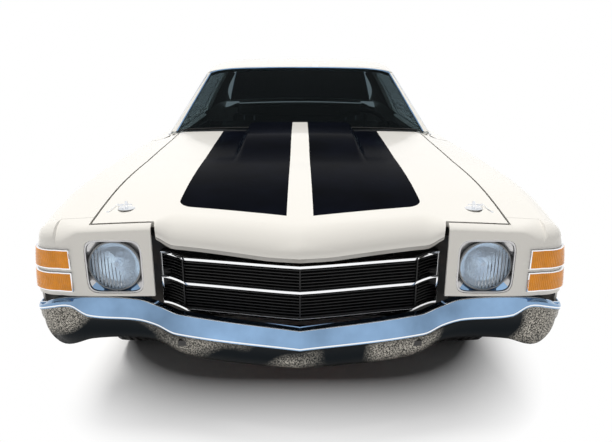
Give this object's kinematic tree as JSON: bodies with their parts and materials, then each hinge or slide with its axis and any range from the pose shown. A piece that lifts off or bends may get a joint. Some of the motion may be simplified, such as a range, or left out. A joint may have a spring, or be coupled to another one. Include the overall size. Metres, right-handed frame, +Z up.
{
  "type": "two-door hardtop muscle car",
  "caption": "Mid-size hardtop muscle car with a domed hood, wrap-around chrome bumpers, striped white body, opening doors, hood and deck lid, and wheels that roll and steer.",
  "frame": {"origin": "on the ground, midway between the bumpers and the sides", "axes": "+Z up, nose points along -Y, +X is the driver's (left) side"},
  "size_m": [1.912, 5.02, 1.3399],
  "materials": {
    "body_paint": "gloss",
    "chassis_black": "satin",
    "radiator_black": "matte",
    "engine_paint": "painted",
    "exhaust_steel": "dull",
    "grille_black": "satin",
    "lamp_glass": "clear ribbed",
    "amber_lens": "ribbed",
    "red_lens": "ribbed",
    "chrome": "polished",
    "tinted_glass": "tinted",
    "seat_vinyl": "grained",
    "interior_plastic": "grained",
    "wheel_silver": "metallic",
    "tyre_rubber": "matte"
  },
  "bodies": {
    "root": {"chassis_frame": "chassis_black", "floor_pan": "chassis_black", "engine_bay_panels": "chassis_black", "radiator": "radiator_black", "drivetrain": "engine_paint", "exhaust": "exhaust_steel", "fuel_tank": "chassis_black", "front_suspension": "chassis_black", "rear_axle": "chassis_black", "front_fenders": "body_paint", "headlamp_panel": "body_paint", "grille": "grille_black", "headlamps": "lamp_glass", "turn_signals": "amber_lens", "front_bumper": "chrome", "cowl": "body_paint", "windshield": "tinted_glass", "roof": "body_paint", "quarter_panels": "body_paint", "rear_deck_panel": "body_paint", "rear_windows": "tinted_glass", "tail_panel": "body_paint", "tail_lamps": "red_lens", "rear_bumper": "chrome", "rockers": "body_paint", "front_seats": "seat_vinyl", "rear_seat": "seat_vinyl", "dashboard": "interior_plastic"},
    "hood": {"hood": "body_paint"},
    "deck_lid": {"deck_lid": "body_paint"},
    "left_door": {"left_door": "body_paint", "left_door_glass": "tinted_glass"},
    "right_door": {"right_door": "body_paint", "right_door_glass": "tinted_glass"},
    "steering_wheel": {"steering_wheel": "interior_plastic"},
    "left_knuckle": {"left_knuckle": "chassis_black"},
    "right_knuckle": {"right_knuckle": "chassis_black"},
    "front_left_wheel": {"front_left_rim": "wheel_silver", "front_left_tyre": "tyre_rubber"},
    "front_right_wheel": {"front_right_rim": "wheel_silver", "front_right_tyre": "tyre_rubber"},
    "rear_left_wheel": {"rear_left_rim": "wheel_silver", "rear_left_tyre": "tyre_rubber"},
    "rear_right_wheel": {"rear_right_rim": "wheel_silver", "rear_right_tyre": "tyre_rubber"}
  },
  "joints": [
    {"name": "left_steer", "type": "hinge", "parent": "root", "child": "left_knuckle", "pos_m": [0.69, -1.595, 0.335], "axis": [0, 0, 1], "range_deg": [-30, 30]},
    {"name": "right_steer", "type": "hinge", "parent": "root", "child": "right_knuckle", "pos_m": [-0.69, -1.595, 0.335], "axis": [0, 0, 1], "range_deg": [-30, 30]},
    {"name": "steering_wheel_turn", "type": "hinge", "parent": "root", "child": "steering_wheel", "pos_m": [0.405, -0.45, 0.85], "axis": [0, 0.9272, 0.3746], "range_deg": [-480, 480]},
    {"name": "front_left_spin", "type": "hinge", "parent": "left_knuckle", "child": "front_left_wheel", "pos_m": [0.76, -1.595, 0.335], "axis": [1, 0, 0], "continuous": true},
    {"name": "front_right_spin", "type": "hinge", "parent": "right_knuckle", "child": "front_right_wheel", "pos_m": [-0.76, -1.595, 0.335], "axis": [1, 0, 0], "continuous": true},
    {"name": "rear_left_spin", "type": "hinge", "parent": "root", "child": "rear_left_wheel", "pos_m": [0.76, 1.25, 0.335], "axis": [1, 0, 0], "continuous": true},
    {"name": "rear_right_spin", "type": "hinge", "parent": "root", "child": "rear_right_wheel", "pos_m": [-0.76, 1.25, 0.335], "axis": [1, 0, 0], "continuous": true},
    {"name": "left_door_hinge", "type": "hinge", "parent": "root", "child": "left_door", "pos_m": [0.9255, -0.8, 0.6], "axis": [0, 0, -1], "range_deg": [0, 65]},
    {"name": "right_door_hinge", "type": "hinge", "parent": "root", "child": "right_door", "pos_m": [-0.9255, -0.8, 0.6], "axis": [0, 0, 1], "range_deg": [0, 65]},
    {"name": "hood_hinge", "type": "hinge", "parent": "root", "child": "hood", "pos_m": [0, -0.86, 0.89988], "axis": [-1, 0, 0], "range_deg": [0, 50]},
    {"name": "deck_lid_hinge", "type": "hinge", "parent": "root", "child": "deck_lid", "pos_m": [0, 1.516, 0.9545], "axis": [1, 0, 0], "range_deg": [0, 70]}
  ],
  "couplings": [
    {"joint": "left_steer", "follows": "steering_wheel_turn", "ratio": 0.0625},
    {"joint": "right_steer", "follows": "steering_wheel_turn", "ratio": 0.0625}
  ]
}
